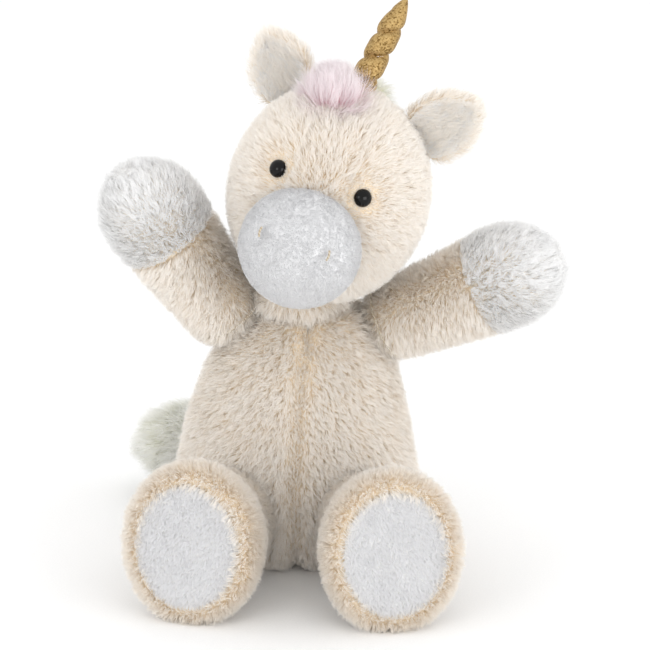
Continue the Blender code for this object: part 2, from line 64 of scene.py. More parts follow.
# Covers
CLOTH_AND_GAP = 3.3 * MM  # from a filling's surface to the outside of its cover
VOXEL = 4.5 * MM
SWELL = 3.5 * MM          # how far stuffing may push a cover
FRAMES = 20
FLOOR_GAP = 0.3 * MM
TORSO_LEAN = 8 * MM       # how far the top of the torso leans towards +X
LEAN_FROM = 60 * MM
GUSSET = 15.5 * MM        # half the width of the head's centre gusset

# Pile
BODY_DENSITY = 2.8        # strands to a square millimetre
STRAND = 0.37 * MM        # width of a strand at its root
BODY_PILE = 8.5 * MM
HOOF_PILE = 9.5 * MM
SOLE_PILE = 3.6 * MM
VELOUR_NAP = 1.7 * MM
TAIL_PILE = 17 * MM

# Horn
HORN_RADIUS = 8.7 * MM
HORN_CREASE = 0.30        # how far the winding thread draws the cone in
HORN_TURNS = 3.8
HORN_BOW = 1.6 * MM       # how far the horn's middle bows sideways
WINDING = 0.45 * MM       # radius of the winding thread

# Eyes
EYE_RADIUS = 5.25 * MM
EYE_SINK = 4.1 * MM       # from a dome's centre to its top


# ---------------------------------------------------------------- places read from the frame

def points_of(*names):
    rows = []
    for name in names:
        mesh = NODES[name].data
        co = np.empty(len(mesh.vertices) * 3, np.float32)
        mesh.vertices.foreach_get("co", co)
        rows.append(co.reshape(-1, 3))
    return np.concatenate(rows)


def middle_of(*names):
    return Vector(points_of(*names).mean(0))


def joint(name):
    """A joint's place and its axis."""
    for row in frame["joints"]:
        if row["name"] == name:
            return Vector(row["pos_m"]), Vector(row["axis"]).normalized()
    raise ValueError(name)


def farthest(name, start):
    """The point of a node that is farthest from start."""
    co = points_of(name)
    return Vector(co[np.argmax(((co - np.array(start)) ** 2).sum(1))])


NECK, HEAD_UP = joint("head_turn")
HEAD_RIGHT = joint("head_nod")[1]
if HEAD_RIGHT.x < 0:
    HEAD_RIGHT = -HEAD_RIGHT
HEAD_BACK = HEAD_UP.cross(HEAD_RIGHT)
HEAD_MIDDLE = middle_of("head_stuffing")
MUZZLE_MIDDLE = middle_of("muzzle_stuffing")
EYES = [middle_of("eye_" + side) for side in SIDES]


# ---------------------------------------------------------------- materials

def linear(hex_colour):
    """An sRGB hex colour as linear RGBA."""
    out = []
    for i in (0, 2, 4):
        c = int(hex_colour[i:i + 2], 16) / 255
        out.append(c / 12.92 if c <= 0.04045 else ((c + 0.055) / 1.055) ** 2.4)
    return (*out, 1.0)


def add(tree, kind, sockets=None, stops=None, **settings):
    """Adds one node; a socket's value is a constant or another node's output."""
    made = tree.nodes.new("ShaderNode" + kind)
    for name, value in settings.items():
        setattr(made, name, value)
    for name, value in (sockets or {}).items():
        if isinstance(value, bpy.types.NodeSocket):
            tree.links.new(value, made.inputs[name])
        else:
            made.inputs[name].default_value = value
    if stops:
        ramp = made.color_ramp.elements
        while len(ramp) < len(stops):
            ramp.new(0.5)
        for stop, (place, colour) in zip(ramp, stops):
            stop.position = place
            stop.color = linear(colour)
    return made


def surface(name, **constants):
    """A new material, its tree and its Principled shader with these constants."""
    made = bpy.data.materials.new(name)
    made.use_nodes = True
    shader = made.node_tree.nodes["Principled BSDF"]
    for socket, value in constants.items():
        shader.inputs[socket.replace("_", " ")].default_value = value
    return made, made.node_tree, shader


def pile_finish(name, root, low, high, tip, shine=0.12, through=0.4):
    """Brushed polyester pile: a matt, slightly silky strand that lets light through. Its colour is
    painted shade towards the root, deeper where light has to find its way down, and pale at its tip."""
    made, tree, shader = surface(name, Roughness=0.82, Sheen_Weight=shine, Sheen_Roughness=0.4)
    strand = add(tree, "UVMap", uv_map="strand")
    split = add(tree, "SeparateXYZ", {"Vector": strand.outputs[0]})
    tone = add(tree, "MapRange", {"Value": split.outputs[0], "To Min": -0.24, "To Max": 0.24})
    along = add(tree, "Math", {0: split.outputs[1], 1: tone.outputs[0]}, operation="ADD")
    # the darker stops towards the root are painted shade for the depth of the pile
    stops = [(0.0, root), (0.3, low), (0.62, high), (1.0, tip)]
    colour = add(tree, "ValToRGB", {"Fac": along.outputs[0]}, stops=stops)
    tree.links.new(colour.outputs[0], shader.inputs["Base Color"])
    glow = add(tree, "BsdfTranslucent", {"Color": colour.outputs[0]})
    both = add(tree, "MixShader", {0: through, 1: shader.outputs[0], 2: glow.outputs[0]})
    tree.links.new(both.outputs[0], tree.nodes["Material Output"].inputs["Surface"])
    return made


def backing_finish(name, dark, light, stitch_mm=1.3):
    """Knitted polyester backing, seen only between the strands: rows of small loops."""
    made, tree, shader = surface(name, Roughness=0.95, Sheen_Weight=0.2)
    place = add(tree, "TexCoord")
    loops = add(tree, "TexVoronoi", {"Vector": place.outputs["Object"], "Scale": 1000 / stitch_mm})
    cloud = add(tree, "TexNoise", {"Vector": place.outputs["Object"], "Scale": 90.0, "Detail": 4.0})
    both = add(tree, "Math", {0: loops.outputs["Distance"], 1: cloud.outputs[0]}, operation="ADD")
    colour = add(tree, "ValToRGB", {"Fac": both.outputs[0]}, stops=[(0.35, dark), (1.0, light)])
    bump = add(tree, "Bump",
               {"Height": loops.outputs["Distance"], "Strength": 0.5, "Distance": 0.4 * MM})
    tree.links.new(colour.outputs[0], shader.inputs["Base Color"])
    tree.links.new(bump.outputs[0], shader.inputs["Normal"])
    return made


def lame_finish(name):
    """Gold lame: a fine plain weave of metallised film yarn, with glints painted into its colour as
    lighter and darker gold cells and its roughness changing with them.
    Real yarn is 0.3 mm apart; it is drawn at 0.8 mm so that it shows."""
    made, tree, shader = surface(name, Metallic=0.9, Roughness=0.4)
    place = add(tree, "UVMap", uv_map="wrap")
    pitch = 0.8
    shared = {"Vector": place.outputs[0], "Distortion": 0.6, "Detail": 1.0}
    weft = add(tree, "TexWave", {**shared, "Scale": pi / pitch / 10}, bands_direction="X")
    warp = add(tree, "TexWave", {**shared, "Scale": pi / pitch / 10}, bands_direction="Y")
    weave = add(tree, "Math", {0: weft.outputs["Fac"], 1: warp.outputs["Fac"]}, operation="MULTIPLY")
    object_place = add(tree, "TexCoord")
    painted_glint_and_roughness = add(tree, "TexVoronoi", {"Vector": object_place.outputs["Object"], "Scale": 1000 / 0.9})
    tone = add(tree, "SeparateColor", {"Color": painted_glint_and_roughness.outputs["Color"]})
    # the lighter and darker gold cells mixed into the colour are painted glints; the weave is the
    # cloth's pattern
    mixed = add(tree, "Mix", {0: 0.35, 2: tone.outputs[0], 3: weave.outputs[0]})
    stops = [(0.08, "6f5428"), (0.3, "b3945f"), (0.7, "c4a670"), (0.95, "d8bd86")]
    colour = add(tree, "ValToRGB", {"Fac": mixed.outputs[0]}, stops=stops)
    rough = add(tree, "MapRange", {"Value": tone.outputs[1], "To Min": 0.34, "To Max": 0.6})
    bump = add(tree, "Bump", {"Height": mixed.outputs[0], "Strength": 0.7, "Distance": 0.3 * MM})
    tree.links.new(colour.outputs[0], shader.inputs["Base Color"])
    tree.links.new(rough.outputs[0], shader.inputs["Roughness"])
    tree.links.new(bump.outputs[0], shader.inputs["Normal"])
    return made


def eye_finish(name):
    """Injection-moulded black ABS, polished, with the faint orange peel of a moulded dome."""
    made, tree, shader = surface(name, Roughness=0.06, IOR=1.49, Specular_IOR_Level=0.25)
    place = add(tree, "TexCoord")
    peel = add(tree, "TexNoise", {"Vector": place.outputs["Object"], "Scale": 700.0, "Detail": 1.0})
    bump = add(tree, "Bump", {"Height": peel.outputs[0], "Strength": 0.05, "Distance": 0.05 * MM})
    colour = add(tree, "ValToRGB", {"Fac": peel.outputs[0]}, stops=[(0.3, "040303"), (0.8, "0b0908")])
    tree.links.new(colour.outputs[0], shader.inputs["Base Color"])
    tree.links.new(bump.outputs[0], shader.inputs["Normal"])
    return made


def thread_finish(name, dark, light, metallic=0.0):
    """Twisted sewing thread: fine slanting plies 0.5 mm apart."""
    made, tree, shader = surface(name, Roughness=0.6, Metallic=metallic, Sheen_Weight=0.2)
    place = add(tree, "TexCoord")
    turned = add(tree, "Mapping", {"Vector": place.outputs["Object"], "Rotation": (0.6, 0.6, 0.4)})
    plies = add(tree, "TexWave", {"Vector": turned.outputs[0], "Scale": 200.0, "Distortion": 1.0})
    colour = add(tree, "ValToRGB", {"Fac": plies.outputs["Fac"]}, stops=[(0.1, dark), (0.8, light)])
    bump = add(tree, "Bump", {"Height": plies.outputs["Fac"], "Strength": 0.6, "Distance": 0.15 * MM})
    tree.links.new(colour.outputs[0], shader.inputs["Base Color"])
    tree.links.new(bump.outputs[0], shader.inputs["Normal"])
    return made


def filling_finish(name):
    """Crimped hollow polyester fibre: white, matt and cloudy, with a tangle of fine fibres."""
    made, tree, shader = surface(name, Roughness=1.0, Sheen_Weight=0.5)
    place = add(tree, "TexCoord")
    tangle = add(tree, "TexNoise", {"Vector": place.outputs["Object"], "Scale": 420.0, "Detail": 6.0,
                                    "Distortion": 2.5})
    colour = add(tree, "ValToRGB", {"Fac": tangle.outputs[0]}, stops=[(0.3, "dedcd6"), (0.6, "fbfbf9")])
    bump = add(tree, "Bump", {"Height": tangle.outputs[0], "Strength": 0.8, "Distance": 1.5 * MM})
    tree.links.new(colour.outputs[0], shader.inputs["Base Color"])
    tree.links.new(bump.outputs[0], shader.inputs["Normal"])
    return made


def nylon_finish(name):
    """Moulded natural nylon: milky, satin, with faint flow marks."""
    made, tree, shader = surface(name, Roughness=0.42, IOR=1.53)
    place = add(tree, "TexCoord")
    flow = add(tree, "TexNoise", {"Vector": place.outputs["Object"], "Scale": 250.0, "Detail": 2.0})
    colour = add(tree, "ValToRGB", {"Fac": flow.outputs[0]}, stops=[(0.3, "dcdcd4"), (0.7, "efefe9")])
    tree.links.new(colour.outputs[0], shader.inputs["Base Color"])
    return made


def calico_finish(name):
    """Unbleached calico: a plain weave with threads 0.6 mm apart."""
    made, tree, shader = surface(name, Roughness=0.92, Sheen_Weight=0.15)
    place = add(tree, "TexCoord")
    shared = {"Vector": place.outputs["Object"], "Scale": pi / 0.6 / MM / 20, "Distortion": 0.4}
    weft = add(tree, "TexWave", shared, bands_direction="X")
    warp = add(tree, "TexWave", shared, bands_direction="Y")
    weave = add(tree, "Math", {0: weft.outputs["Fac"], 1: warp.outputs["Fac"]}, operation="MULTIPLY")
    colour = add(tree, "ValToRGB", {"Fac": weave.outputs[0]}, stops=[(0.1, "c6bfa9"), (0.8, "e2dccb")])
    bump = add(tree, "Bump", {"Height": weave.outputs[0], "Strength": 0.5, "Distance": 0.2 * MM})
    tree.links.new(colour.outputs[0], shader.inputs["Base Color"])
    tree.links.new(bump.outputs[0], shader.inputs["Normal"])
    return made


CREAM_PILE = pile_finish("cream_polyester_pile", "f5e7cf", "fcf6ee", "fffbf5", "fffdfa")
WHITE_PILE = pile_finish("white_polyester_pile", "f9f8f7", "fdfdfd", "fefefe", "ffffff", through=0.5)
NAP = pile_finish("white_velour_nap", "e0e0e1", "e4e4e5", "e7e7e8", "eaeaeb", shine=0.2)
SOLE_NAP = pile_finish("white_sole_pile", "eeeeef", "f2f2f3", "f5f5f6", "f8f8f9", shine=0.2)
PINK_PILE = pile_finish("pink_polyester_pile", "f3b9c5", "f6e2e6", "f9f0f2", "fcf8f9")
PASTEL_PILE = pile_finish("pastel_polyester_pile", "f2f2da", "fafaf0", "fdfdf9", "ffffff")
BACKING = backing_finish("cream_knit_backing", "ead2aa", "f6e9d4")
WHITE_BACKING = backing_finish("white_knit_backing", "ebe8e3", "fbfaf8")
VELOUR = backing_finish("white_velour", "dededf", "e6e6e7", 0.9)
PASTEL_BACKING = backing_finish("pastel_knit_backing", "ecebd6", "f7f7ec")
LAME = lame_finish("gold_lame")
EYE_BLACK = eye_finish("polished_black_abs")
BEIGE_THREAD = thread_finish("beige_polyester_thread", "a8977c", "cfc3ae")
GOLD_THREAD = thread_finish("gold_metallised_thread", "6f5124", "c79f5a", 0.7)
FIBRE = filling_finish("hollow_polyester_fibre")
NYLON = nylon_finish("natural_nylon")
CALICO = calico_finish("unbleached_calico")


# ---------------------------------------------------------------- covers

def object_from(name, bm):
    mesh = bpy.data.meshes.new(name)
    bm.to_mesh(mesh)
    bm.free()
    made = bpy.data.objects.new(name, mesh)
    bpy.context.scene.collection.objects.link(made)
    return made


def wrap_round(name, *nodes):
    """A closed skin drawn tight round the given nodes."""
    bm = bmesh.new()
    for co in points_of(*nodes):
        bm.verts.new(co)
    made = bmesh.ops.convex_hull(bm, input=bm.verts, use_existing_faces=False)
    spare = made["geom_interior"] + made["geom_unused"]
    loose = {g for g in spare if isinstance(g, bmesh.types.BMVert)}
    bmesh.ops.delete(bm, geom=list(loose), context="VERTS")
    bmesh.ops.recalc_face_normals(bm, faces=bm.faces)
    return object_from(name, bm)


def merged_copy(name, node, out=0.0):
    """A node's shape with its triangles joined, moved outwards by the given distance."""
    bm = bmesh.new()
    bm.from_mesh(NODES[node].data)
    bmesh.ops.remove_doubles(bm, verts=bm.verts, dist=1e-5)
    bmesh.ops.recalc_face_normals(bm, faces=bm.faces)
    bm.normal_update()
    moves = [v.normal * out for v in bm.verts]
    for v, move in zip(bm.verts, moves):
        v.co += move
    return object_from(name, bm)


def apply_modifiers(piece):
    bpy.ops.object.select_all(action="DESELECT")
    piece.select_set(True)
    bpy.context.view_layer.objects.active = piece
    for modifier in list(piece.modifiers):
        bpy.ops.object.modifier_apply(modifier=modifier.name)
    piece.select_set(False)


def coordinates(mesh):
    co = np.empty(len(mesh.vertices) * 3, np.float32)
    mesh.vertices.foreach_get("co", co)
    return co.reshape(-1, 3)


def stuff(covers, swell=SWELL):
    """Remeshes the covers evenly and lets the filling's pressure swell them as cloth."""
    for cover in covers:
        remesh = cover.modifiers.new("even", "REMESH")
        remesh.mode = "VOXEL"
        remesh.voxel_size = VOXEL
        apply_modifiers(cover)
    starts = [coordinates(cover.data) for cover in covers]
    for cover in covers:
        cloth = cover.modifiers.new("cloth", "CLOTH")
        cloth.settings.quality = 5
        cloth.settings.mass = 0.15
        cloth.settings.tension_stiffness = 12
        cloth.settings.compression_stiffness = 12
        cloth.settings.bending_stiffness = 0.6
        cloth.settings.use_pressure = True
        cloth.settings.uniform_pressure_force = 4.0
        cloth.settings.effector_weights.gravity = 0.0
    for step in range(1, FRAMES + 1):
        bpy.context.scene.frame_set(step)
    depsgraph = bpy.context.evaluated_depsgraph_get()
    for cover, start in zip(covers, starts):
        shape = coordinates(cover.evaluated_get(depsgraph).data)
        move = shape - start
        far = np.linalg.norm(move, axis=1, keepdims=True)
        move *= np.minimum(1.0, swell / np.maximum(far, 1e-9))
        cover.modifiers.clear()
        cover.data.vertices.foreach_set("co", (start + move).ravel())
    bpy.context.scene.frame_set(1)
    for cover in covers:
        smooth = cover.modifiers.new("ease", "SMOOTH")
        smooth.factor = 0.5
        smooth.iterations = 4
        fine = cover.modifiers.new("fine", "SUBSURF")
        fine.levels = fine.render_levels = 1
        apply_modifiers(cover)
        cover.data.shade_smooth()


def draw_in(cover, distance, depth, width):
    """Pulls the cover in along a seam; distance gives each vertex's distance from it."""
    mesh = cover.data
    co = coordinates(mesh)
    normal = np.empty(len(co) * 3, np.float32)
    mesh.vertices.foreach_get("normal", normal)
    pull = depth * np.exp(-(distance(co) / width) ** 2)
    co -= normal.reshape(-1, 3) * pull[:, None]
    mesh.vertices.foreach_set("co", co.ravel())
    mesh.update()


def set_on_floor(cover):
    co = coordinates(cover.data)
    co[:, 2] = np.maximum(co[:, 2], FLOOR_GAP)
    cover.data.vertices.foreach_set("co", co.ravel())
    cover.data.update()


def finish_cover(cover, body, finish, nodes):
    cover.data.materials.clear()
    cover.data.materials.append(finish)
    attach(cover, body)
    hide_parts(*nodes)


# ---------------------------------------------------------------- pile

class Ground:
    """A cover's triangles as arrays, for planting pile on."""

    def __init__(self, cover):
        mesh = cover.data
        mesh.calc_loop_triangles()
        corners = np.empty(len(mesh.loop_triangles) * 3, np.int32)
        mesh.loop_triangles.foreach_get("vertices", corners)
        normal = np.empty(len(mesh.vertices) * 3, np.float32)
        mesh.vertices.foreach_get("normal", normal)
        self.co = coordinates(mesh)[corners].reshape(-1, 3, 3)
        self.normal = normal.reshape(-1, 3)[corners].reshape(-1, 3, 3)
        self.centre = self.co.mean(1)
        across = np.cross(self.co[:, 1] - self.co[:, 0], self.co[:, 2] - self.co[:, 0])
        self.area = np.linalg.norm(across, axis=1) / 2
        self.face_normal = across / np.maximum(2 * self.area[:, None], 1e-12)
        self.open = np.ones(len(self.area), bool)
        self.tree = BVHTree.FromPolygons([tuple(p) for p in coordinates(mesh)],
                                         corners.reshape(-1, 3).tolist())

    def cover_by(self, other, deeper=0.0):
        """Closes the ground that lies deeper than this inside another cover."""
        for i in np.nonzero(self.open)[0]:
            place, normal, _, _ = other.tree.find_nearest(Vector(self.centre[i]))
            self.open[i] = (Vector(self.centre[i]) - place).dot(normal) >= -deeper


def unit(rows):
    return rows / np.maximum(np.linalg.norm(rows, axis=1, keepdims=True), 1e-9)


def pile(name, ground, region, per_mm2, length, width, nap, body, finish, seed,
         lift=0.9, lay=0.55, tuft=2.0 * MM, clump=0.25, stray=0.3, bends=1, shorten=None):
    """Plants tapered strands on part of a cover and joins them into one piece.

    They stand up by lift and lie over along nap by lay, and lean together in tufts."""
    rng = np.random.default_rng(seed)
    chosen = np.nonzero(ground.open & region(ground.centre))[0]
    area = ground.area[chosen]
    count = int(area.sum() * 1e6 * per_mm2)

    def plant(number):
        pick = chosen[rng.choice(len(area), size=number, p=area / area.sum())]
        u, v = rng.random((2, number, 1))
        over = u + v > 1
        u, v = np.where(over, 1 - u, u), np.where(over, 1 - v, v)
        weights = np.stack((1 - u - v, u, v), axis=1)
        return (ground.co[pick] * weights).sum(1), unit((ground.normal[pick] * weights).sum(1))

    root, normal = plant(count)
    centre, _ = plant(max(4, int(area.sum() / tuft ** 2)))
    tree = KDTree(len(centre))
    for i, place in enumerate(centre):
        tree.insert(place, i)
    tree.balance()
    of_tuft = np.array([tree.find(p)[1] for p in root])
    tufts = len(centre)

    # each tuft has its own heading, length and tone, and each strand a little of its own
    flow = nap(root)
    flow = unit(flow - normal * (flow * normal).sum(1, keepdims=True))
    turn = rng.normal(0, 0.3, tufts)[of_tuft] + rng.normal(0, stray, count)
    across = np.cross(normal, flow)
    heading = flow * np.cos(turn)[:, None] + across * np.sin(turn)[:, None]
    grow = rng.uniform(0.86, 1.1, tufts)[of_tuft] * rng.uniform(0.75, 1.1, count)
    if shorten is not None:
        grow = grow * shorten(root)
    long = (length * grow)[:, None]
    rise = (lift * rng.uniform(0.88, 1.1, tufts)[of_tuft] + rng.normal(0, 0.08, count))[:, None]
    tip = root + long * 0.95 * unit(normal * rise + heading * lay)
    ends = np.zeros((tufts, 3))
    np.add.at(ends, of_tuft, tip)
    held = np.bincount(of_tuft, minlength=tufts)[:, None]
    ends /= np.maximum(held, 1)
    tip += (ends[of_tuft] - tip) * clump * rng.uniform(0.5, 1.0, (count, 1))
    curl = rng.normal(0, 0.12, (count, 1)) * across
    knee = root + long * 0.5 * (normal * (rise + 0.35) + heading * lay * 0.25 + curl)

    spin = rng.normal(0, 0.3, (count, 1))
    side = unit(np.cross(tip - root, normal))
    side = unit(side * np.cos(spin) + np.cross(side, unit(tip - root)) * np.sin(spin))
    levels = [0.0, 0.55] if bends == 1 else [0.0, 0.42, 0.76]
    rows = []
    for t in levels:
        place = root * (1 - t) ** 2 + knee * 2 * t * (1 - t) + tip * t ** 2
        half = side * (width * (1 - 0.55 * t * t) / 2)
        rows += [place - half, place + half]
    rows.append(tip)
    co = np.stack(rows, axis=1)
    co[:, :, 2] = np.maximum(co[:, :, 2], FLOOR_GAP)
    per = len(rows)

    patch = np.array([noise.noise(Vector(p) / (14 * MM)) for p in centre])
    tone = 0.5 + rng.normal(0, 0.12, count) + (rng.normal(0, 0.06, tufts) + 0.2 * patch)[of_tuft]
    strand_mesh(name, co.reshape(-1, 3), count, per, np.clip(tone, 0.02, 0.98), levels)
    made = bpy.data.objects[name]
    made.data.materials.append(finish)
    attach(made, body)
    return made


def strand_mesh(name, co, count, per, tone, levels):
    """The strands' faces, with a UV map of each strand's tone and the way along it."""
    quads = len(levels) - 1
    first = np.arange(count)[:, None] * per
    pattern = []
    for q in range(quads):
        pattern += [2 * q, 2 * q + 1, 2 * q + 3, 2 * q + 2]
    pattern += [per - 3, per - 2, per - 1]
    corners = (first + np.array(pattern)).ravel()
    sizes = np.tile([4] * quads + [3], count)
    starts = np.concatenate(([0], np.cumsum(sizes)[:-1]))
    mesh = bpy.data.meshes.new(name)
    mesh.vertices.add(len(co))
    mesh.vertices.foreach_set("co", co.astype(np.float32).ravel())
    mesh.loops.add(len(corners))
    mesh.loops.foreach_set("vertex_index", corners.astype(np.int32))
    mesh.polygons.add(len(sizes))
    mesh.polygons.foreach_set("loop_start", starts.astype(np.int32))
    mesh.update(calc_edges=True)
    along = np.repeat(levels + [1.0], [2] * len(levels) + [1])
    uv = np.stack((np.repeat(tone, per)[corners], np.tile(along, count)[corners]), axis=1)
    mesh.uv_layers.new(name="strand").data.foreach_set("uv", uv.astype(np.float32).ravel())
    mesh.shade_smooth()
    made = bpy.data.objects.new(name, mesh)
    bpy.context.scene.collection.objects.link(made)


def everywhere(co):
    return np.ones(len(co), bool)


def along(direction, spread=0.0, start=None):
    """A nap that runs one way, and spreads from a start point or axis if one is given."""
    way = np.array(direction)

    def nap(root):
        rows = np.tile(way, (len(root), 1))
        if start is not None:
            out = root - np.array(start)
            out -= way * (out @ way)[:, None]
            rows = rows + unit(out) * spread
        return rows
    return nap


# ---------------------------------------------------------------- torso

def torso_lean(co):
    """X of the torso's middle seam at each point's height."""
    top = points_of("torso_front_left_panel")[:, 2].max()
    return TORSO_LEAN * np.maximum(0, (co[:, 2] - LEAN_FROM) / (top - LEAN_FROM)) ** 2


def make_torso():
    panels = [f"torso_{face}_{side}_panel" for face in ("front", "back") for side in SIDES]
    cover = wrap_round("torso_cover", *panels, "seat_panel")
    return cover, panels


def by_seam(root):
    """The seam catches the pile beside it, so it stands shorter there."""
    return np.clip(np.abs(root[:, 0] - torso_lean(root)) / (6 * MM), 0.5, 1.0)


def torso_pile(ground):
    for face, front in (("front", 1), ("back", -1)):
        for side, sign in SIDES.items():
            def region(co, front=front, sign=sign):
                seam = (co[:, 0] - torso_lean(co)) * sign >= 0
                return seam & (co[:, 1] * front < 0) & (co[:, 2] > 1.0 * MM)

            nap = along((0.35 * sign, 0, -1))
            parting = 0.45 if sign > 0 else 0.15
            pile(f"torso_{face}_{side}_pile", ground, region, BODY_DENSITY, BODY_PILE, STRAND, nap,
                 "torso", CREAM_PILE, seed=10 + 2 * front + sign, clump=parting,
                 shorten=by_seam)


# ---------------------------------------------------------------- head

def head_nap(root):
    """Away from the muzzle, over the crown and down the cheeks."""
    away = root - np.array(MUZZLE_MIDDLE)
    down = np.tile(-np.array(HEAD_UP), (len(root), 1))
    behind = ((root - np.array(HEAD_MIDDLE)) @ np.array(HEAD_BACK) > 0)[:, None]
    return unit(away) + down * np.where(behind, 0.9, 0.35)


def round_eyes(root):
    """The pile is clipped short round the eyes."""
    near = np.min([np.linalg.norm(root - np.array(eye), axis=1) for eye in EYES], axis=0)
    return np.clip((near - 4.5 * MM) / (11 * MM), 0.28, 1.0)


def head_across(co):
    return (co - np.array(HEAD_MIDDLE)) @ np.array(HEAD_RIGHT)


def head_pile(ground):
    for side, sign in SIDES.items():
        def region(co, sign=sign):
            return head_across(co) * sign > GUSSET

        pile(f"head_{side}_pile", ground, region, BODY_DENSITY, BODY_PILE, STRAND, head_nap, "head",
             CREAM_PILE, seed=21 + sign, shorten=round_eyes)

    def strip(co):
        return np.abs(head_across(co)) <= GUSSET
    pile("head_gusset_pile", ground, strip, BODY_DENSITY, BODY_PILE, STRAND, head_nap, "head",
         CREAM_PILE, seed=25, shorten=round_eyes)


def muzzle_pile(ground):
    nap = along(-HEAD_UP)
    pile("muzzle_nap", ground, everywhere, 4.2, VELOUR_NAP, 0.3 * MM, nap, "head", NAP,
         seed=31, lift=0.8, lay=0.7, tuft=2.0 * MM, clump=0.05, stray=0.2)


def forelock_pile():
    ground = Ground(merged_copy("forelock_base", "forelock"))
    foot = np.array(middle_of("forelock"))

    def nap(root):
        out = unit(root - foot)
        up = np.array(HEAD_UP) * 1.3
        return out * 0.35 + up - np.array(HEAD_RIGHT) * 0.35 - np.array(HEAD_BACK) * 0.1
    made = pile("forelock_tuft", ground, everywhere, 7.0, 20 * MM, 0.26 * MM, nap, "head",
                PINK_PILE, seed=41, lift=0.3, lay=1.0, tuft=2.4 * MM, clump=0.15,
                stray=0.15, bends=2)
    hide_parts("forelock")
    bpy.data.objects.remove(bpy.data.objects["forelock_base"])


def mane_pile():
    ground = Ground(merged_copy("mane_base", "mane"))

    def nap(root):
        return np.tile(np.array(HEAD_BACK * 0.5 - HEAD_UP * 0.8), (len(root), 1)) + unit(
            head_across(root)[:, None] * np.array(HEAD_RIGHT)) * 0.3
    made = pile("mane_tuft", ground, everywhere, 3.0, 15 * MM, 0.36 * MM, nap, "head",
                PASTEL_PILE, seed=43, lift=0.9, lay=0.6, tuft=4 * MM)
    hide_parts("mane")
    bpy.data.objects.remove(bpy.data.objects["mane_base"])


def make_ears():
    for side, sign in SIDES.items():
        foot, _ = joint("ear_fold_" + side)
        way = (middle_of("ear_outer_" + side) - foot).normalized()
        for part, finish, slot, pile_mat, long in (
                ("outer", BACKING, "cream_plush", CREAM_PILE, 11 * MM),
                ("lining", WHITE_BACKING, "white_plush", WHITE_PILE, 4.5 * MM)):
            node = f"ear_{part}_{side}"
            leaf = merged_copy(node + "_cloth", node)
            fine = leaf.modifiers.new("fine", "SUBSURF")
            fine.levels = fine.render_levels = 2
            apply_modifiers(leaf)
            leaf.data.shade_smooth()
            finish_cover(leaf, "ear_" + side, finish, [node])
            ground = Ground(leaf)
            inner = part == "lining"
            front = ground.face_normal @ np.array(HEAD_BACK) < 0.25
            ground.open = front if inner else ground.open
            pile(node + "_pile", ground, everywhere, 4.2, long, 0.32 * MM, along(way), "ear_" + side,
                 pile_mat, seed=51 + sign + 3 * inner, lift=0.6, lay=0.9)


def make_eyes():
    """Domed shank eyes: the CAD post stays under the dome's own width."""
    for side in SIDES:
        node = "eye_" + side
        co = points_of(node)
        away = (middle_of(node) - HEAD_MIDDLE).normalized()
        centre = co.mean(0)
        _, _, axes = np.linalg.svd(co - centre)
        axis = Vector(axes[0])
        axis = axis if axis.dot(away) > 0 else -axis
        along_axis = (co - centre) @ np.array(axis)
        top = Vector(centre) + axis * float(along_axis.max())
        turn = axis.to_track_quat("Z", "Y").to_matrix().to_4x4()
        bpy.ops.mesh.primitive_uv_sphere_add(segments=48, ring_count=24, radius=EYE_RADIUS)
        dome = bpy.context.object
        dome.name = node + "_dome"
        place = Matrix.Translation(top - axis * EYE_SINK) @ turn @ Matrix.Diagonal((1, 1, 0.78, 1))
        dome.data.transform(place)
        dome.data.shade_smooth()
        dome.data.materials.append(EYE_BLACK)
        dome.select_set(False)
        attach(dome, "head")
        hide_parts(node)


def make_horn():
    """A gold cone wound with thread: one notched ring, extruded upwards turn by turn."""
    foot, _ = joint("horn_bend")
    tip = farthest("horn_cover", foot)
    axis = (tip - foot).normalized()
    tall = (tip - foot).length
    rings = 96
    bpy.ops.mesh.primitive_circle_add(vertices=48, radius=HORN_RADIUS, fill_type="NOTHING")
    horn = bpy.context.object
    horn.name = "horn_wound_cover"
    mesh = horn.data
    for v in mesh.vertices:
        angle = np.arctan2(v.co.y, v.co.x)
        v.co *= 1 - HORN_CREASE * (1 - abs(sin(angle / 2))) ** 2.2
    bpy.ops.object.mode_set(mode="EDIT")
    bpy.ops.mesh.select_all(action="SELECT")
    step_turn = -2 * pi * HORN_TURNS / rings
    radius = 1.0

    def grow(t):
        return (1 - 0.22 * t) * max(0.03, 1 - max(0.0, (t - 0.66) / 0.345) ** 1.6) ** 0.75

    for i in range(1, rings + 1):
        t = i / rings
        goal = grow(t)
        bpy.ops.mesh.extrude_region_move(TRANSFORM_OT_translate={"value": (0, 0, tall / rings)})
        middle = (0, 0, tall * t)
        bpy.ops.transform.rotate(value=step_turn, orient_axis="Z", center_override=middle)
        scale = goal / radius
        bpy.ops.transform.resize(value=(scale, scale, 1), center_override=middle)
        radius = goal
    bpy.ops.mesh.edge_face_add()
    bpy.ops.object.mode_set(mode="OBJECT")
    for v in mesh.vertices:
        t = v.co.z / tall
        plain = min(1.0, max(0.0, (t - 0.76) / 0.12))
        round_now = HORN_RADIUS * grow(t) / max(v.co.xy.length, 1e-6)
        v.co.xy *= 1 + (round_now - 1) * plain
    wrap = mesh.uv_layers.new(name="wrap")
    for loop in mesh.loops:
        co = mesh.vertices[loop.vertex_index].co
        angle = np.arctan2(co.y, co.x)
        wrap.data[loop.index].uv = (angle * 7.0, co.z / MM)
    turn = axis.to_track_quat("Z", "Y").to_matrix().to_4x4()
    winding = wound_thread(tall, rings, step_turn, grow)
    for piece, finish, slot, node in ((horn, LAME, "gold_lame", "horn_cover"),
                                      (winding, GOLD_THREAD, "gold_thread", "horn_winding_thread")):
        for v in piece.data.vertices:
            v.co.x += HORN_BOW * sin(pi * v.co.z / tall)
        piece.data.transform(Matrix.Translation(foot) @ turn)
        piece.data.shade_smooth()
        piece.data.materials.append(finish)
        piece.select_set(False)
        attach(piece, "horn")
        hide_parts(node)


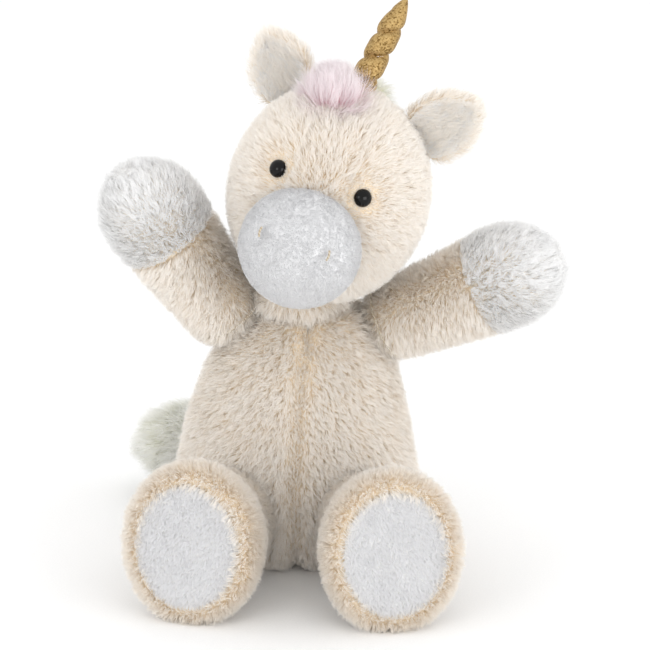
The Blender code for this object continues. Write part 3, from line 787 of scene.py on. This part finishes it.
def wound_thread(tall, rings, step_turn, grow):
    """The thread that lies in the horn's crease from its foot to near its tip."""
    sides = 8
    bm = bmesh.new()
    rows = []
    for i in range(rings - 20):
        angle = step_turn * i
        out = Vector((cos(angle), sin(angle), 0))
        heel = HORN_RADIUS * grow(i / rings) * (1 - HORN_CREASE) - 0.1 * MM
        place = out * heel + Vector((0, 0, tall * i / rings))
        row = []
        for k in range(sides):
            a = 2 * pi * k / sides
            row.append(bm.verts.new(place + out * WINDING * cos(a) + Vector((0, 0, WINDING * sin(a)))))
        rows.append(row)
    for low, high in zip(rows, rows[1:]):
        for k in range(sides):
            bm.faces.new((low[k], low[k - 1], high[k - 1], high[k]))
    bm.faces.new(rows[0])
    bm.faces.new(rows[-1][::-1])
    bmesh.ops.recalc_face_normals(bm, faces=bm.faces)
    return object_from("horn_wound_thread", bm)


# ---------------------------------------------------------------- limbs and tail

def arm_pile(side, ground):
    sign = SIDES[side]
    foot, _ = joint("arm_swing_" + side)
    way = (middle_of("hoof_cover_" + side) - foot).normalized()
    edge = ((points_of("hoof_cover_" + side) - np.array(foot)) @ np.array(way)).min()
    body = "arm_" + side
    split = Vector((0, 1, 0)) - way * way.y
    fall = along(way * 0.5 - Vector((0, 0, 0.8)))

    def reach(co):
        return (co - np.array(foot)) @ np.array(way)

    for face, facing in (("front", -1), ("back", 1)):
        def region(co, facing=facing):
            return (reach(co) < edge) & ((co - np.array(foot)) @ np.array(split) * facing > 0)
        pile(f"arm_{face}_pile_{side}", ground, region, BODY_DENSITY, BODY_PILE, STRAND, fall, body,
             CREAM_PILE, seed=61 + 4 * facing + sign, lay=0.45)

    def hoof(co):
        return reach(co) >= edge
    pile(f"hoof_pile_{side}", ground, hoof, 3.4, HOOF_PILE, 0.34 * MM, along(way, 0.5, foot), body,
         WHITE_PILE, seed=71 + sign, lift=0.9, lay=0.65, tuft=2.4 * MM, clump=0.12)


def under_sole(co, side, grow=1.0):
    """Which points lie behind the sole's oval, the leg's way, and each point's reach along it."""
    foot, _ = joint("leg_spread_" + side)
    oval = points_of("sole_" + side)
    centre = np.array(middle_of("sole_" + side))
    way = (Vector(centre) - foot).normalized()
    up = np.array((Vector((0, 0, 1)) - way * way.z).normalized())
    way = np.array(way)
    across = np.cross(up, way)
    size = [np.abs((oval - centre) @ axis).max() * grow for axis in (across, up)]
    spread = ((co - centre) @ across / size[0]) ** 2 + ((co - centre) @ up / size[1]) ** 2
    reach = (co - centre) @ way
    return spread < 1, way, reach, ((oval - centre) @ way).min()


def seat_sole(cover, side):
    """Presses the foot flat behind its sole."""
    co = coordinates(cover.data)
    inside, way, reach, back = under_sole(co, side)
    over = np.where(inside, np.maximum(reach - back + 0.4 * MM, 0), 0)
    cover.data.vertices.foreach_set("co", (co - way * over[:, None]).astype(np.float32).ravel())
    cover.data.update()


def leg_pile(side, ground):
    sign = SIDES[side]
    foot, _ = joint("leg_spread_" + side)
    way = (middle_of("sole_" + side) - foot).normalized()
    pile(f"leg_pile_{side}", ground, everywhere, BODY_DENSITY, BODY_PILE, STRAND,
         along(way, -0.3, foot), "leg_" + side, CREAM_PILE, seed=81 + sign)


def make_soles():
    for side, sign in SIDES.items():
        node = "sole_" + side
        patch = merged_copy(node + "_cloth", node)
        fine = patch.modifiers.new("fine", "SUBSURF")
        fine.levels = fine.render_levels = 1
        apply_modifiers(patch)
        patch.data.shade_smooth()
        finish_cover(patch, "leg_" + side, WHITE_BACKING, [node])
        ground = Ground(patch)
        foot, _ = joint("leg_spread_" + side)
        way = (middle_of(node) - foot).normalized()
        ground.open = ground.face_normal @ np.array(way) > 0.2
        pile(node + "_pile", ground, everywhere, 4.5, SOLE_PILE, 0.32 * MM, along((0.2 * sign, 0, -1)),
             "leg_" + side, SOLE_NAP, seed=91 + sign, lift=0.9, lay=0.6,
             tuft=2.6 * MM, clump=0.15)


def tail_pile(ground):
    root, _ = joint("tail_swing")

    def nap(co):
        part = np.clip((root.x - co[:, 0]) / (70 * MM), 0, 1)
        bend = radians(58) - radians(64) * part
        return np.stack((-np.cos(bend), np.sin(bend), np.full(len(co), -0.3)), axis=1)
    pile("tail_pile", ground, everywhere, 3.0, TAIL_PILE, 0.36 * MM, nap, "tail", PASTEL_PILE,
         seed=101, lift=0.85, lay=0.6, tuft=3.5 * MM, clump=0.25, stray=0.4)


# ---------------------------------------------------------------- what stays as modelled

def finish_inner_nodes():
    finishes = {"stuffing": FIBRE, "neck_plug": FIBRE, "washer": NYLON, "pellet_bag": CALICO,
                "stitch": BEIGE_THREAD, "thread": BEIGE_THREAD}
    for name, piece in NODES.items():
        for word, finish in finishes.items():
            if word in name:
                for slot in piece.material_slots:
                    slot.material = finish
                break


# ---------------------------------------------------------------- assembly

def make_covers():
    """Every stuffed cover, all swollen in one simulation: {name: (cover, body, nodes)}."""
    torso, panels = make_torso()
    heads = ["head_left_panel", "head_right_panel", "head_centre_gusset"]
    covers = {
        "torso": (torso, "torso", panels + ["seat_panel"]),
        "head": (wrap_round("head_cover", *heads, "head_stuffing"), "head", heads),
        "muzzle": (wrap_round("muzzle_velour_cover", "muzzle_cover"), "head", ["muzzle_cover"]),
        "tail": (merged_copy("tail_stuffed_cover", "tail_stuffing", CLOTH_AND_GAP), "tail",
                 ["tail_cover"]),
    }
    for side in SIDES:
        nodes = [f"arm_front_panel_{side}", f"arm_back_panel_{side}", f"hoof_cover_{side}"]
        arm = wrap_round("arm_cover_" + side, *nodes, "arm_stuffing_" + side)
        covers["arm_" + side] = (arm, "arm_" + side, nodes)
        leg = merged_copy("leg_stuffed_cover_" + side, "leg_stuffing_" + side, CLOTH_AND_GAP)
        covers["leg_" + side] = (leg, "leg_" + side, ["leg_cover_" + side])
    bpy.ops.mesh.primitive_uv_sphere_add(segments=24, ring_count=16, radius=1.0)
    neck = bpy.context.object
    neck.name = "neck_gathered_cover"
    neck.select_set(False)
    neck.data.transform(Matrix.Translation(NECK) @ Matrix.Diagonal((27 * MM, 25 * MM, 17 * MM, 1)))
    covers["neck"] = (neck, "neck_gather", [])
    stuff([row[0] for row in covers.values()])
    return covers


def sew(covers):
    """Draws the seams in, sets everything on the floor and gives each cover its finish."""
    torso = covers["torso"][0]
    draw_in(torso, lambda co: co[:, 0] - torso_lean(co), 2.4 * MM, 3.6 * MM)
    draw_in(torso, lambda co: co[:, 1] + 100 * MM * (np.abs(co[:, 0]) < 20 * MM), 1.4 * MM, 3 * MM)
    head = covers["head"][0]
    draw_in(head, lambda co: np.abs(head_across(co)) - GUSSET, 1.6 * MM, 2.6 * MM)
    muzzle = covers["muzzle"][0]
    for side in SIDES:
        nostril = np.array(middle_of("nostril_stitch_" + side))

        def from_nostril(co, nostril=nostril):
            away = co - nostril
            up = away @ np.array(HEAD_UP)
            return np.sqrt(np.maximum((away ** 2).sum(1) - 0.75 * up ** 2, 0))
        draw_in(muzzle, from_nostril, 2.4 * MM, 4.0 * MM)
    for side in SIDES:
        seat_sole(covers["leg_" + side][0], side)
    backings = {"muzzle": (VELOUR, "white_velour"), "tail": (PASTEL_BACKING, "pastel_pile")}
    for name, (cover, body, nodes) in covers.items():
        set_on_floor(cover)
        finish, slot = backings.get(name, (BACKING, "cream_plush"))
        finish_cover(cover, body, finish, nodes)


def plant(covers):
    grounds = {name: Ground(row[0]) for name, row in covers.items()}
    for name in ("arm_left", "arm_right", "leg_left", "leg_right", "tail", "neck"):
        grounds["torso"].cover_by(grounds[name], 1.5 * MM)
    for name in ("muzzle", "neck"):
        grounds["head"].cover_by(grounds[name], 0.5 * MM)
    for name in ("arm_left", "arm_right", "leg_left", "leg_right", "tail", "neck"):
        grounds[name].cover_by(grounds["torso"], 1.5 * MM)
    grounds["muzzle"].cover_by(grounds["head"], 0.2 * MM)
    grounds["neck"].cover_by(grounds["head"], 1.0 * MM)
    torso_pile(grounds["torso"])
    head_pile(grounds["head"])
    muzzle_pile(grounds["muzzle"])
    pile("neck_pile", grounds["neck"], everywhere, BODY_DENSITY, BODY_PILE, STRAND,
         along((0, 0, -1)), "neck_gather", CREAM_PILE, seed=5)
    for side in SIDES:
        arm_pile(side, grounds["arm_" + side])
        leg = grounds["leg_" + side]
        inside, _, reach, _ = under_sole(leg.centre, side, 0.98)
        leg.open &= ~(inside & (reach > -12 * MM))
        leg_pile(side, grounds["leg_" + side])
    tail_pile(grounds["tail"])


def build():
    covers = make_covers()
    sew(covers)
    plant(covers)
    make_soles()
    make_ears()
    make_eyes()
    make_horn()
    forelock_pile()
    mane_pile()
    finish_inner_nodes()


# ---------------------------------------------------------------- studio

def make_studio():
    scene = bpy.context.scene
    data = bpy.data.cameras.new("camera")
    camera = bpy.data.objects.new("camera", data)
    scene.collection.objects.link(camera)
    down = radians(VIEW_DOWN)
    camera.location = VIEW_CENTRE - Vector((0, cos(down), -sin(down))) * VIEW_DISTANCE
    camera.rotation_euler = (pi / 2 - down, 0, 0)
    data.lens = LENS
    data.sensor_width = 36
    scene.camera = camera

    bpy.ops.mesh.primitive_plane_add(size=12)
    floor = bpy.context.object
    floor.name = "floor"
    floor.select_set(False)
    paper, tree, shader = surface("white_background_paper", Roughness=0.9)
    place = add(tree, "TexCoord")
    grain = add(tree, "TexNoise", {"Vector": place.outputs["Object"], "Scale": 900.0, "Detail": 3.0})
    colour = add(tree, "ValToRGB", {"Fac": grain.outputs[0]}, stops=[(0.3, "fafafa"), (0.7, "ffffff")])
    tree.links.new(colour.outputs[0], shader.inputs["Base Color"])
    floor.data.materials.append(paper)

    world = bpy.data.worlds.new("studio")
    world.use_nodes = True
    world.node_tree.nodes["Background"].inputs["Color"].default_value = (1, 1, 1, 1)
    world.node_tree.nodes["Background"].inputs["Strength"].default_value = 1.04
    scene.world = world
    for name, place, size, power in (
            ("key_softbox", (-0.9, -1.4, 0.7), 0.6, 3.5), ("fill_softbox", (1.1, -1.5, 0.25), 1.1, 12),
            ("top_softbox", (0.1, 0.5, 1.6), 0.9, 1)):
        light = bpy.data.lights.new(name, "AREA")
        light.size = size
        light.energy = power
        lamp = bpy.data.objects.new(name, light)
        scene.collection.objects.link(lamp)
        lamp.location = place
        aim = Vector((0, 0, 0.15)) - lamp.location
        lamp.rotation_euler = aim.to_track_quat("-Z", "Y").to_euler()
    scene.view_settings.view_transform = "Standard"


make_studio()
build()
